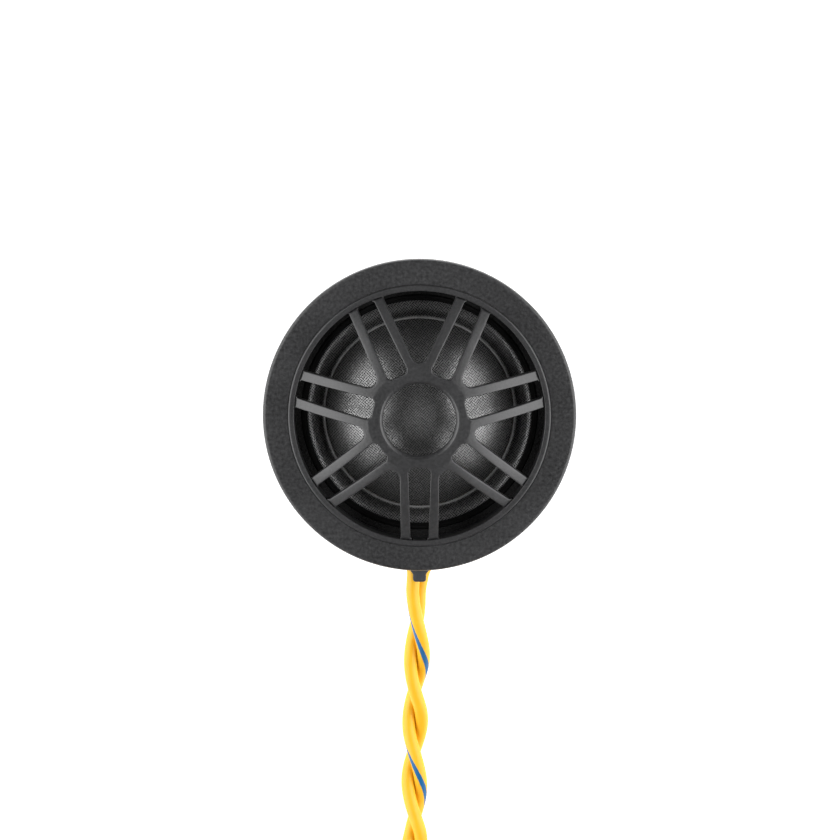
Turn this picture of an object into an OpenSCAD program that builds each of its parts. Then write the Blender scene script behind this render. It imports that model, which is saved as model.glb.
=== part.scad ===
// Car tweeter: a soft dome behind a twin-spoke grille, in a flanged body,
// with its motor, its terminals and a twisted pair of leads.
// Millimetres, +Z out of the dome.  z = 0 is the flat rear face, and the axis is x = y = 0.
// The leads leave at -Y and lie on the surface that the tweeter stands on.

/* [Body] */
// Diameter of the front flange
flange_d = 46; // [45:0.5:50]
// Thickness of the front flange
flange_t = 2.5; // [2:0.1:3.5]
// Depth of the body behind the flange
body_depth = 15.5; // [15.5:0.1:17]
// Diameter of the skirt behind the flange
skirt_d = 41.6; // [41.6:0.1:42.2]
// Diameter of the rear body
body_d = 41; // [40.8:0.1:41.2]
// Radius of the flange's rounded front edge
flange_round = 0.5; // [0.2:0.1:0.8]

/* [Grille] */
// Height of the hub's face above the flange's face
hub_rise = 5.6; // [4.5:0.1:6.5]
// Radius of the hub's flat ring
hub_r = 7.4; // [7:0.1:8]
// Radius of the hole in the hub
hub_hole_r = 5.3; // [4.5:0.1:5.8]
// Number of spoke pairs
pairs = 7; // [5:1:8]
// Width of a spoke at the hub
spoke_w_hub = 1.25; // [1:0.05:1.5]
// Width of a spoke at the rim
spoke_w_rim = 1.42; // [1.1:0.05:1.6]
// Half of the slot in a pair, at the hub
slot_half_hub = 1.64; // [1.4:0.02:1.8]
// Half of the slot in a pair, at the rim
slot_half_rim = 1.33; // [1.1:0.02:1.6]
// Thickness of the spokes, square to their face
spoke_t = 1.7; // [1.2:0.1:2]

/* [Diaphragm] */
// Radius of the dome at its edge
dome_r = 13.9; // [13.8:0.05:13.95]
// Height of the dome
dome_h = 6.9; // [5.5:0.1:7.4]
// Thickness of the coated cloth
cloth_t = 0.3; // [0.2:0.05:0.35]
// Width of the surround's roll, which is pressed inwards
roll_w = 2.5; // [2.2:0.05:2.6]
// Depth of the surround's roll
roll_depth = 0.9; // [0.7:0.05:0.95]

/* [Leads] */
// Diameter of the twisted pair
pair_d = 4; // [3.8:0.1:4]
// Diameter of one insulated wire
wire_d = 2; // [1.8:0.1:2]
// Diameter of a wire's conductor
core_d = 1; // [0.8:0.1:1.1]
// Height of the leads where they leave the body
exit_z = 9.4; // [9.2:0.1:9.6]

/* [Hidden] */
$fn = 96;

// Heights, from the rear face up
flange_z = body_depth;
face_z = flange_z + flange_t;
cover_t = 2;
pad_t = 0.9;
yoke_floor_t = 2.1;
magnet_t = 3.2;
plate_t = 2.4;
yoke_z = cover_t + pad_t;
magnet_z = yoke_z + yoke_floor_t;
plate_z = magnet_z + magnet_t;
motor_top_z = plate_z + plate_t;
rib_t = 0.6;
frame_z = motor_top_z + rib_t;
frame_t = 1.2;
land_z = frame_z + frame_t;
gasket_t = 0.5;
shoulder_z = land_z + gasket_t;
housing_step_z = 7.2;

// Radii of the body
body_r = body_d / 2;
skirt_r = skirt_d / 2;
flange_r = flange_d / 2;
skirt_in_r = 19.5;
skirt_chamfer = 0.3;
void_r = 18.5;
housing_in_r = 17.9;
neck_r = skirt_in_r - 0.05;
cover_chamfer = 0.4;

// Grille
seat_z = 15.2;
seat_r = 19.4;
rim_out_r = seat_r - 0.1;
rim_in_r = 18.4;
rim_round = (rim_out_r - rim_in_r) / 2;
rim_top_z = face_z + 0.25;
hub_z = face_z + hub_rise;
hub_t = 1.7;
hub_chamfer = 0.35;
// The grille's face is a ball that runs through the hub's edge and the rim's inner edge
cap_drop = hub_z - face_z;
cap_z = (hub_z + face_z - (pow(rim_in_r, 2) - pow(hub_r, 2)) / cap_drop) / 2;
cap_r = norm([hub_r, hub_z - cap_z]);
slot_in = 6.95;
slot_round = 0.75;
apex_round = 1.29;
foot_w = 1.85;
foot_t = 0.4;

// Motor and diaphragm
plate_r = 13.6;
magnet_r = 12.5;
yoke_in_r = 14.65;
yoke_out_r = 16.6;
former_r = 13.95;
former_t = 0.15;
coil_t = 0.35;
former_z = plate_z - 0.6;
roll_mid_r = 15.7;
land_out_r = 17.5;
land_in_r = 17.2;
rib_in_r = 14.95;
rib_out_r = 17.4;
cap_floor_z = land_z + 0.1;
dome_ball_r = (dome_r * dome_r + dome_h * dome_h) / (2 * dome_h);
dome_ball_z = cap_floor_z + dome_h - dome_ball_r;

// Screws of the rear cover
screw_ring_r = 18.2;
screw_angles = [90, 210, 330];
screw_shank_r = 0.8;
screw_pilot_r = 0.75;
screw_hole_r = 0.95;
screw_head_r = 1.5;
screw_head_t = 0.9;
screw_recess_r = 1.7;
screw_recess_t = 1.2;
screw_end_z = 7;
boss_r = 1.3;

// Lead exit
slot_w = 5.5;
throat_w = 5.4;
throat_h = 3;
throat_low_z = exit_z - throat_h / 2;
throat_in_y = -18.4;
head_in_y = -20.9;
head_out_y = -22.3;
head_w = 6.2;
tongue_w = 1.95;
tongue_root_w = 3.1;
tongue_root_y = -23.6;
tongue_end_y = -25.5;
tongue_low_z = exit_z + pair_d / 2 + 0.05;
tongue_t = 1.2;
tongue_round = 0.45;
wire_r = wire_d / 2;
core_r = core_d / 2;
wire_x = 1.15;
wire_in_y = -18.2;
core_in_y = -17.1;
tab_x = 1.25;
tab_w = 1.5;
tab_in_y = -16.75;
tab_out_y = -18.35;
tab_t = 0.35;

// Leads: the stretch from the body to the coil, the coil, and its inner end
lead_z = 2.05;
run_route = [[0, -22.3, 9.4], [0, -23.3, 9.4], [-0.3, -25.5, 9.35], [-0.5, -27.5, 9.15], [-0.4, -30, 8.6],
             [-0.25, -32.5, 7.8], [-0.3, -36, 6.4], [-0.45, -40, 4.7], [-0.6, -44, 3.3], [-0.65, -48, 2.4],
             [-0.75, -52, 2.05], [-0.85, -57, 2.05], [-0.7, -61, 2.05], [-0.6, -65, 2.05]];
bend_r = 14;
bend_angle = 45;
coil_r = 23;
coil_inner_r = 18.8;
run_end = run_route[len(run_route) - 1];
coil_x = run_end[0] + (coil_r + bend_r) * cos(bend_angle) - bend_r;
coil_y = run_end[1] - (coil_r + bend_r) * sin(bend_angle);
coil_side = pair_d / 2 + 0.1;
tie_angle = 270;
tie_w = 2.5;
tie_t = 0.5;
// The inner turn ends at tail_angle, and the tail bends in from there
tail_angle = 45;
tail_r = 9;
tail_turn = 70;
tip_len = 6;
tip_r = 0.5;

// Points on a circle, from angle a0 to angle a1
function arc(x, y, r, a0, a1, steps) =
    [for (i = [0:steps]) let (a = a0 + (a1 - a0) * i / steps) [x + r * cos(a), y + r * sin(a)]];

// The unit vector along v
function unit(v) = v / norm(v);

// The direction of a route at its point i
function heading(route, i) =
    unit(route[min(i + 1, len(route) - 1)] - route[max(i - 1, 0)]);

// A round tube swept along a route that never stands upright
module tube(route, r, sides = 8) {
    count = len(route);
    rings = [for (i = [0:count - 1])
        let (t = heading(route, i), s = unit(cross(t, [0, 0, 1])), u = cross(s, t))
        for (k = [0:sides - 1]) route[i] + r * (cos(360 * k / sides) * s + sin(360 * k / sides) * u)];
    walls = [for (i = [0:count - 2], k = [0:sides - 1])
        let (a = i * sides + k, b = i * sides + (k + 1) % sides) [a, b, b + sides, a + sides]];
    start = [for (k = [sides - 1:-1:0]) k];
    end = [for (k = [0:sides - 1]) (count - 1) * sides + k];
    polyhedron(points = rings, faces = concat(walls, [start, end]));
}

// A ring with a square section
module ring(r_out, r_in, h) {
    difference() {
        cylinder(r = r_out, h = h);
        translate([0, 0, -1]) cylinder(r = r_in, h = h + 2);
    }
}

// A rod along Y, between y0 and y1
module rod_y(x, z, r, y0, y1) {
    translate([x, y0, z]) rotate([-90, 0, 0]) cylinder(r = r, h = y1 - y0, $fn = 32);
}

// Front flange and the skirt behind it
module bezel() {
    profile = concat(
        [[skirt_in_r, housing_step_z], [skirt_r - skirt_chamfer, housing_step_z],
         [skirt_r, housing_step_z + skirt_chamfer], [skirt_r, flange_z], [flange_r, flange_z]],
        arc(flange_r - flange_round, face_z - flange_round, flange_round, 0, 90, 6),
        [[seat_r, face_z], [seat_r, seat_z], [void_r, seat_z], [void_r, shoulder_z], [skirt_in_r, shoulder_z]]);
    color("#3c3d3f") difference() {
        rotate_extrude() polygon(profile);
        lead_slot(housing_step_z - 1, throat_low_z + throat_h + 0.05);
    }
}

// The opening in the body's side that the strain relief sits in
module lead_slot(z0, z1) {
    translate([-slot_w / 2, -skirt_r - 1, z0]) cube([slot_w, skirt_r + 1 - yoke_out_r, z1 - z0]);
}

// One half of the width of a spoke pair, at distance x from the axis
function pair_edge(half_hub, half_rim, x) =
    half_hub + (half_rim - half_hub) * (x - slot_in) / (rim_in_r - slot_in);

// The slot between the two spokes of a pair, along +X, with round corners towards the hub
module slot_opening() {
    far = (rim_in_r + rim_out_r) / 2;
    near = slot_in + slot_round;
    corner_y = pair_edge(slot_half_hub, slot_half_rim, near) - slot_round;
    far_half = pair_edge(slot_half_hub, slot_half_rim, far);
    polygon(concat([[far, far_half]], arc(near, corner_y, slot_round, 90, 180, 5),
        arc(near, -corner_y, slot_round, 180, 270, 5), [[far, -far_half]]));
}

// The opening between two pairs, along +X, with a round end towards the hub
module gap_opening() {
    edge_hub = slot_half_hub + spoke_w_hub;
    edge_rim = slot_half_rim + spoke_w_rim;
    lean = atan2(edge_hub - edge_rim, rim_in_r - slot_in);
    half_angle = 180 / pairs + lean;
    edge_axis = (edge_hub + tan(lean) * slot_in) * cos(lean);
    apex = edge_axis / sin(half_angle);
    reach = (rim_in_r + rim_out_r) / 2 - apex;
    far = [apex + reach * cos(half_angle), reach * sin(half_angle)];
    polygon(concat([far],
        arc(apex + apex_round / sin(half_angle), 0, apex_round, 90 + half_angle, 270 - half_angle, 8),
        [[far[0], -far[1]]]));
}

// The openings in plan, out to the rim, less the small feet at the outer ends of the spokes
module grille_openings() {
    difference() {
        intersection() {
            circle(r = rim_in_r);
            for (k = [0:pairs - 1]) rotate(-90 + 360 * k / pairs) {
                slot_opening();
                rotate(180 / pairs) gap_opening();
            }
        }
        for (k = [0:pairs - 1], side = [-1, 1]) rotate(-90 + 360 * k / pairs)
            translate([rim_in_r - foot_t - 0.1, side * (slot_half_rim + spoke_w_rim / 2) - foot_w / 2])
                square([foot_t + 1, foot_w]);
    }
}

// Height at radius r of a ball about the axis
function ball_height(ball_r, r) = cap_z + sqrt(ball_r * ball_r - r * r);

// Domed grille with a flat hub, twin spokes and a round rim
module grille() {
    under_r = cap_r - spoke_t;
    shell_out_r = rim_in_r - 0.12;
    top = [for (i = [0:8]) let (r = hub_r + (shell_out_r - hub_r) * i / 8) [r, ball_height(cap_r, r)]];
    under = [for (i = [0:5]) let (r = shell_out_r + (hub_r + 0.1 - shell_out_r) * i / 5)
        [r, ball_height(under_r, r)]];
    profile = concat(
        [[hub_hole_r, hub_z - hub_t], [hub_hole_r, hub_z - hub_chamfer], [hub_hole_r + hub_chamfer, hub_z]],
        top,
        arc(rim_in_r + rim_round, rim_top_z - rim_round, rim_round, 140, 0, 7),
        [[rim_out_r, seat_z], [shell_out_r, seat_z]],
        under);
    color("#35363a") difference() {
        rotate_extrude() polygon(profile);
        linear_extrude(2 * hub_z) grille_openings();
    }
}

// Coated cloth dome, with the collar that is glued round the coil former
module dome() {
    color("#232427") {
        difference() {
            translate([0, 0, dome_ball_z]) sphere(r = dome_ball_r);
            translate([0, 0, dome_ball_z]) sphere(r = dome_ball_r - cloth_t);
            translate([0, 0, cap_floor_z - 2 * dome_ball_r])
                cylinder(r = 2 * dome_ball_r, h = 2 * dome_ball_r);
        }
        translate([0, 0, cap_floor_z - 0.1]) ring(dome_r, former_r - former_t - 0.05, 0.15);
    }
}

// Surround with its roll pressed inwards, an inner land by the dome and an outer land on the frame
module surround() {
    base = land_z + cloth_t;
    bow_r = (pow(roll_w / 2, 2) + pow(roll_depth, 2)) / (2 * roll_depth);
    bow_z = base - roll_depth + bow_r;
    upper = asin(roll_w / 2 / bow_r);
    under = acos((bow_z - land_z) / (bow_r + cloth_t));
    profile = concat(
        [[former_r + 0.05, base], [former_r + 0.05, land_z]],
        arc(roll_mid_r, bow_z, bow_r + cloth_t, 270 - under, 270 + under, 16),
        [[land_out_r, land_z], [land_out_r, base]],
        arc(roll_mid_r, bow_z, bow_r, 270 + upper, 270 - upper, 16));
    color("#1d1e20") rotate_extrude() polygon(profile);
}

module coil_former() {
    color("#b9985a") translate([0, 0, former_z])
        ring(former_r, former_r - former_t, cap_floor_z - 0.1 - former_z);
}

module voice_coil() {
    color("#b5672f") translate([0, 0, plate_z]) ring(former_r + coil_t, former_r, plate_t);
}

// Fine braided wire from the coil to a terminal, with a little slack
module lead_out(side) {
    z = frame_z - 0.25;
    x = side * tab_x;
    color("#c98b4a") tube([[x, -14.0, z - 0.05], [x + side * 0.2, -14.7, z], [x + side * 0.4, -15.4, z],
        [x + side * 0.2, -16.1, z], [x, tab_in_y, z]], 0.12);
}
module lead_out_left() { lead_out(-1); }
module lead_out_right() { lead_out(1); }

// Ring that carries the surround, over the motor and on the housing's neck
module diaphragm_frame() {
    color("#18191b") difference() {
        union() {
            translate([0, 0, frame_z]) ring(neck_r - 0.05, land_in_r, frame_t);
            translate([0, 0, motor_top_z]) ring(rib_out_r, rib_in_r, rib_t);
        }
        translate([-2.2, -yoke_out_r - 1, motor_top_z - 1]) cube([4.4, 3, rib_t + 1]);
    }
}

module frame_gasket() {
    color("#141414") translate([0, 0, land_z]) ring(neck_r - 0.05, land_out_r + 0.1, gasket_t);
}

module terminal(side) {
    color("#c9a24b") translate([side * tab_x - tab_w / 2, tab_out_y, frame_z - tab_t])
        cube([tab_w, tab_in_y - tab_out_y, tab_t]);
}
module terminal_left() { terminal(-1); }
module terminal_right() { terminal(1); }

// Solder between each conductor and its terminal
module solder_joints() {
    joint_y = (core_in_y + wire_in_y) / 2;
    color("#c4c6c9") for (side = [-1, 1]) difference() {
        intersection() {
            translate([side * wire_x, joint_y, exit_z + 0.7]) sphere(r = 0.95, $fn = 32);
            translate([side * wire_x - 1, joint_y - 0.45, exit_z]) cube([2, 0.9, frame_z - tab_t - exit_z]);
        }
        rod_y(side * wire_x, exit_z, core_r, -19, -16);
    }
}

module pole_plate() {
    color("#9c9fa3") translate([0, 0, plate_z]) cylinder(r = plate_r, h = plate_t);
}

module magnet() {
    color("#c9ccd0") translate([0, 0, magnet_z]) cylinder(r = magnet_r, h = magnet_t);
}

// Steel cup that closes the magnetic circuit round the coil
module yoke_cup() {
    color("#a5a8ab") difference() {
        translate([0, 0, yoke_z]) cylinder(r = yoke_out_r, h = motor_top_z - yoke_z);
        translate([0, 0, magnet_z]) cylinder(r = yoke_in_r, h = motor_top_z);
    }
}

module pole_felt() {
    color("#6d6a64") translate([0, 0, motor_top_z]) cylinder(r = 8, h = 1.6);
}

module damping_pad() {
    color("#3a3a3a") translate([0, 0, cover_t]) cylinder(r = 15, h = pad_t);
}

// Rear shell, with a neck that fits in the bezel's skirt and three screw bosses
module housing() {
    wall = [[housing_in_r, cover_t], [body_r, cover_t], [body_r, housing_step_z], [neck_r, housing_step_z],
            [neck_r, frame_z], [housing_in_r, frame_z]];
    color("#2e2f31") difference() {
        union() {
            rotate_extrude() polygon(wall);
            for (a = screw_angles) rotate(a) translate([screw_ring_r, 0, cover_t])
                cylinder(r = boss_r, h = housing_step_z - cover_t, $fn = 48);
        }
        for (a = screw_angles) rotate(a) translate([screw_ring_r, 0, cover_t - 1])
            cylinder(r = screw_pilot_r, h = screw_end_z, $fn = 32);
        lead_slot(throat_low_z - 0.05, frame_z + 1);
    }
}

// Flat back, with a ring that centres it on the bosses
module rear_cover() {
    disc = [[0, 0], [body_r - cover_chamfer, 0], [body_r, cover_chamfer], [body_r, cover_t], [0, cover_t]];
    color("#2e2f31") difference() {
        union() {
            rotate_extrude() polygon(disc);
            translate([0, 0, cover_t]) ring(screw_ring_r - boss_r - 0.1, 15.1, 0.8);
        }
        for (a = screw_angles) rotate(a) translate([screw_ring_r, 0, 0]) {
            translate([0, 0, -1]) cylinder(r = screw_hole_r, h = cover_t + 2, $fn = 32);
            translate([0, 0, -1]) cylinder(r = screw_recess_r, h = 1 + screw_recess_t, $fn = 48);
        }
    }
}

// Three self-tapping screws with a cross recess
module cover_screws() {
    head_z = screw_recess_t - screw_head_t;
    color("#8f9297") for (a = screw_angles) rotate(a) translate([screw_ring_r, 0, 0]) difference() {
        union() {
            translate([0, 0, head_z]) cylinder(r = screw_head_r, h = screw_head_t, $fn = 48);
            translate([0, 0, screw_recess_t - 0.01])
                cylinder(r = screw_shank_r, h = screw_end_z - screw_recess_t, $fn = 32);
        }
        for (turn = [0, 90]) rotate(turn) translate([-0.85, -0.2, head_z - 1]) cube([1.7, 0.4, 1.5]);
    }
}

// Strain relief: a throat in the body's side, a head outside it, and a tongue over the leads
module strain_relief() {
    round = tongue_round;
    tip = tongue_w / 2 - round;
    color("#33353b") difference() {
        union() {
            translate([-throat_w / 2, head_in_y, throat_low_z])
                cube([throat_w, throat_in_y - head_in_y, throat_h]);
            translate([-head_w / 2, head_out_y, throat_low_z - 0.6])
                cube([head_w, head_in_y - head_out_y, tongue_low_z + tongue_t - throat_low_z + 0.6]);
            translate([0, 0, tongue_low_z]) linear_extrude(tongue_t) {
                polygon([[-tongue_root_w / 2, head_out_y + 0.1], [-tongue_root_w / 2, tongue_root_y],
                    [-tongue_w / 2, tongue_root_y - 0.7], [-tongue_w / 2, tongue_end_y + round],
                    [tongue_w / 2, tongue_end_y + round], [tongue_w / 2, tongue_root_y - 0.7],
                    [tongue_root_w / 2, tongue_root_y], [tongue_root_w / 2, head_out_y + 0.1]]);
                translate([-tip, tongue_end_y]) square([2 * tip, round]);
                for (side = [-1, 1]) translate([side * tip, tongue_end_y + round]) circle(r = round, $fn = 32);
            }
        }
        for (side = [-1, 1]) rod_y(side * wire_x, exit_z, wire_r, head_out_y - 1, throat_in_y + 1);
    }
}

// Insulation of one wire inside the strain relief
module inner_wire(side) {
    difference() {
        rod_y(side * wire_x, exit_z, wire_r, head_out_y, wire_in_y);
        rod_y(side * wire_x, exit_z, core_r, head_out_y - 1, wire_in_y + 1);
    }
}
module inner_wire_plain() { color("#f6c21c") inner_wire(1); }
module inner_wire_striped() { color("#f0bb1a") inner_wire(-1); }

module inner_conductors() {
    color("#c7a27c") for (side = [-1, 1]) rod_y(side * wire_x, exit_z, core_r, head_out_y, core_in_y);
}

// The leads from the body to the coil, as the round outline of the twisted pair
module lead_run() {
    bend = [for (p = arc(run_end[0] - bend_r, run_end[1], bend_r, -bend_angle / 4, -bend_angle, 3))
        [p[0], p[1], lead_z]];
    color("#f6c21c") tube(concat(run_route, bend), pair_d / 2);
}

// The unseen length, wound in two flat turns that lie beside each other
module lead_coil() {
    low = coil_inner_r - coil_side;
    high = coil_r + coil_side;
    round = 1.6;
    top = pair_d + 0.1;
    profile = concat(
        arc(low + round, top - round, round, 180, 90, 4), arc(high - round, top - round, round, 90, 0, 4),
        arc(high - round, round, round, 0, -90, 4), arc(low + round, round, round, -90, -180, 4));
    color("#f6c21c") translate([coil_x, coil_y, 0]) difference() {
        rotate_extrude() polygon(profile);
        rotate(tie_angle) translate([low - 1, -tie_w / 2 - 0.05, -1])
            cube([high - low + 2, tie_w + 0.1, 1 + tie_t + 0.05]);
    }
}

// The end of the leads, which bends in from the inner turn
tail_mid_r = coil_inner_r - tail_r;
tail_mid = [coil_x + tail_mid_r * cos(tail_angle), coil_y + tail_mid_r * sin(tail_angle)];
tail_end = tail_angle + tail_turn;
tail_straight = 0.6;
module lead_tail() {
    bend = arc(tail_mid[0], tail_mid[1], tail_r, tail_angle + 25, tail_end, 4);
    last = bend[4] + tail_straight * [-sin(tail_end), cos(tail_end)];
    color("#f6c21c") tube([for (p = concat(bend, [last])) [p[0], p[1], lead_z]], pair_d / 2);
}

// Stripped and tinned end of one wire
module bare_end(side) {
    color("#c4c6c9") translate([tail_mid[0], tail_mid[1], lead_z]) rotate(tail_end)
        translate([tail_r + side * wire_r, tail_straight, 0]) rotate([-90, 0, 0])
            cylinder(r = tip_r, h = tip_len, $fn = 32);
}
module bare_end_plain() { bare_end(1); }
module bare_end_striped() { bare_end(-1); }

// Nylon tie round the two turns
module lead_tie() {
    low = coil_inner_r - coil_side;
    high = coil_r + coil_side;
    top = pair_d + 0.1;
    color("#1b1b1c") translate([coil_x, coil_y, 0]) rotate(tie_angle) {
        translate([0, tie_w / 2, 0]) rotate([90, 0, 0]) linear_extrude(tie_w) difference() {
            translate([low - tie_t - 0.05, 0]) square([high - low + 2 * tie_t + 0.1, top + tie_t + 0.05]);
            translate([low - 0.05, tie_t]) square([high - low + 0.1, top - tie_t + 0.05]);
        }
        translate([(low + high) / 2 - 1.5, -tie_w / 2 - 0.6, top + 0.05]) cube([3, tie_w + 1.2, 2.4]);
    }
}

bezel();
grille();
dome();
surround();
coil_former();
voice_coil();
lead_out_left();
lead_out_right();
diaphragm_frame();
frame_gasket();
terminal_left();
terminal_right();
solder_joints();
pole_plate();
magnet();
yoke_cup();
pole_felt();
damping_pad();
housing();
rear_cover();
cover_screws();
strain_relief();
inner_wire_plain();
inner_wire_striped();
inner_conductors();
lead_run();
lead_coil();
lead_tail();
lead_tie();
bare_end_plain();
bare_end_striped();
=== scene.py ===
"""Car tweeter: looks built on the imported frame.  Metres, +Z out of the dome, z = 0 on the floor.

Order: camera, mesh helpers, finishes, leads, bezel, grille, dome and surround, lead-outs, strain relief,
rear shell, inner pieces, floor and light.
"""
import math

import bmesh
import bpy
import numpy as np
from mathutils import Matrix, Vector, geometry


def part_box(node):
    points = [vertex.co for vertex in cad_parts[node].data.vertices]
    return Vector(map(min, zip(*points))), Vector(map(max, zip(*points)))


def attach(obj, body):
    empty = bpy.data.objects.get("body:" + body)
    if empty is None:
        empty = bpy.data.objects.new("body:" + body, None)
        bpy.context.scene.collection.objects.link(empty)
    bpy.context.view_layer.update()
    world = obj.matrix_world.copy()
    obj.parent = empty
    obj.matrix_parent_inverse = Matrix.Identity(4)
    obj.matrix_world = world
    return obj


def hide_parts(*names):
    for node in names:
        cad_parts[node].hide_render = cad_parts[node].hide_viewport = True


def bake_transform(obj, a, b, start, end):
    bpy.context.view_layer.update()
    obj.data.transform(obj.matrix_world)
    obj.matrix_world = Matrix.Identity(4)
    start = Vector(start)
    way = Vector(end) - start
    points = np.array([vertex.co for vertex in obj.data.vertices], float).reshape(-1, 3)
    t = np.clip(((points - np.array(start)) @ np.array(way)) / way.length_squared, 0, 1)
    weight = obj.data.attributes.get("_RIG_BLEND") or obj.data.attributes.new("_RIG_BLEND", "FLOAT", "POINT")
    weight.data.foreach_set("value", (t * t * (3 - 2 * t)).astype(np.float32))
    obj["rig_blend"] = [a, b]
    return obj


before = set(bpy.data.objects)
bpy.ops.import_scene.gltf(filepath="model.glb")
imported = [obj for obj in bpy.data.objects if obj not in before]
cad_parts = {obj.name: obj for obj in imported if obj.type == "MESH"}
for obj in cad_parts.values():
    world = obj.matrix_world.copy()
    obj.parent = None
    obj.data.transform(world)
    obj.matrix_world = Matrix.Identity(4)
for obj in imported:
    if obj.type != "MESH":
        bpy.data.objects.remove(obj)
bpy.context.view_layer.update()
MM = 0.001

# ---------------- driving sizes, from the frame
bezel_low, bezel_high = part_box("bezel")
grille_low, grille_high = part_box("grille")
dome_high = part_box("dome")[1]
frame_ring_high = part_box("diaphragm_frame")[1]
surround_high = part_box("surround")[1]
housing_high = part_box("housing")[1]
cover_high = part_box("rear_cover")[1]
screws_low, screws_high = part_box("cover_screws")
relief_low, relief_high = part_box("strain_relief")

FLANGE_R = bezel_high[0]
FACE_Z = bezel_high[2]
FLANGE_T = 2.5 * MM
FLANGE_BACK_Z = FACE_Z - FLANGE_T
FLANGE_ROUND = 0.5 * MM
SKIRT_Z = bezel_low[2]
SKIRT_R = 20.8 * MM
SKIRT_IN_R = 19.5 * MM
BODY_R = housing_high[0]
RIM_OUT_R = grille_high[0]
RIM_W = 0.9 * MM
RIM_IN_R = RIM_OUT_R - RIM_W
SEAT_Z = grille_low[2]
SEAT_R = RIM_OUT_R + 0.03 * MM
HUB_Z = grille_high[2]
LAND_Z = frame_ring_high[2]
VOID_R = 18.5 * MM
SHOULDER_Z = LAND_Z + 0.5 * MM
UP = Vector((0, 0, 1))


# ---------------- camera
# Width of what the camera sees at the flange
VIEW_WIDTH = 123.56 * MM
VIEW_TILT = math.radians(6.5)
CAMERA_DISTANCE = 0.45
# The middle of the flange's edge sits a little above the middle of the frame
AIM_DOWN = 0.72 * MM
AIM_RIGHT = 0.07 * MM


def add_camera():
    """Looks down on the grille, a few degrees from the axis on the side away from the leads."""
    middle = Vector((0, 0, FLANGE_BACK_Z + (FLANGE_T - FLANGE_ROUND) / 2))
    toward = Vector((0, math.sin(VIEW_TILT), math.cos(VIEW_TILT)))
    aim = middle + Vector((AIM_RIGHT, -AIM_DOWN, 0))
    data = bpy.data.cameras.new("camera")
    data.lens = data.sensor_width * CAMERA_DISTANCE / VIEW_WIDTH
    data.clip_start = 0.01
    camera = bpy.data.objects.new("camera", data)
    camera.location = aim + toward * CAMERA_DISTANCE
    camera.rotation_euler = (-VIEW_TILT, 0, 0)
    bpy.context.collection.objects.link(camera)
    bpy.context.scene.camera = camera


add_camera()


# ---------------- mesh helpers
def linked(name, data):
    """An object in the scene for a mesh or a light."""
    obj = bpy.data.objects.new(name, data)
    bpy.context.collection.objects.link(obj)
    return obj


def new_object(name, verts, faces, smooth_angle=35, slots=None):
    """A mesh object at the origin, smooth except along edges sharper than smooth_angle."""
    mesh = bpy.data.meshes.new(name)
    mesh.from_pydata([tuple(v) for v in verts], [], faces)
    obj = linked(name, mesh)
    if slots is not None:
        mesh.polygons.foreach_set("material_index", slots)
    finish_shading(obj, smooth_angle)
    return obj


def finish_shading(obj, smooth_angle=35):
    """Faces are smooth, and edges that turn by more than smooth_angle stay sharp."""
    work = bmesh.new()
    work.from_mesh(obj.data)
    bmesh.ops.recalc_face_normals(work, faces=work.faces)
    limit = math.radians(smooth_angle)
    for edge in work.edges:
        edge.smooth = not edge.is_manifold or edge.calc_face_angle(0) < limit
    for face in work.faces:
        face.smooth = True
    work.to_mesh(obj.data)
    work.free()


def polar(radius, angle):
    """The (x, y) of a point at an angle in radians."""
    return radius * math.cos(angle), radius * math.sin(angle)


def corner(x, y, radius, start, end, steps=6):
    """Points of an arc, angles in degrees."""
    angles = [math.radians(start + (end - start) * i / steps) for i in range(steps + 1)]
    return [(x + radius * math.cos(a), y + radius * math.sin(a)) for a in angles]


def rounded(outline, radius, steps=4):
    """The closed outline with every corner turned into an arc.  An entry (x, y, r) sets its own radius."""
    points = []
    count = len(outline)
    for i, entry in enumerate(outline):
        here = Vector(entry[:2])
        r = entry[2] if len(entry) > 2 else radius
        before = (Vector(outline[i - 1][:2]) - here).normalized()
        after = (Vector(outline[(i + 1) % count][:2]) - here).normalized()
        if r <= 0 or abs(before.cross(after)) < 1e-6:
            points.append(tuple(here))
            continue
        half = before.angle(after) / 2
        back = r / math.tan(half)
        centre = here + (before + after).normalized() * (r / math.sin(half))
        start = here + before * back - centre
        turn = -(before.cross(after) / abs(before.cross(after))) * (math.pi - 2 * half)
        for k in range(steps + 1):
            angle = turn * k / steps
            points.append((centre.x + start.x * math.cos(angle) - start.y * math.sin(angle),
                           centre.y + start.x * math.sin(angle) + start.y * math.cos(angle)))
    return points


def lathe(name, profile, segments=192, closed=True, smooth_angle=35):
    """Turns a profile of (radius, height) points about Z.  Points on the axis become one pole."""
    verts, rows = [], []
    for radius, height in profile:
        if radius < 1e-7:
            rows.append([len(verts)] * segments)
            verts.append((0, 0, height))
        else:
            rows.append(list(range(len(verts), len(verts) + segments)))
            verts += [(*polar(radius, math.tau * k / segments), height) for k in range(segments)]
    faces = []
    for lower, upper in zip(rows, rows[1:] + rows[:1] if closed else rows[1:]):
        for k in range(segments):
            ring = [lower[k], lower[(k + 1) % segments], upper[(k + 1) % segments], upper[k]]
            ring = [v for i, v in enumerate(ring) if v != ring[i - 1]]
            if len(set(ring)) > 2:
                faces.append(ring)
    return new_object(name, verts, faces, smooth_angle)


def walls(first, rows, sides, wrap=False):
    """Faces between rows of points, sides to a row.  With wrap, the last row joins the first."""
    faces = []
    for row in range(rows if wrap else rows - 1):
        here, there = first + row * sides, first + (row + 1) % rows * sides
        for k in range(sides):
            after = (k + 1) % sides
            faces.append((here + k, here + after, there + after, there + k))
    return faces


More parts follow.
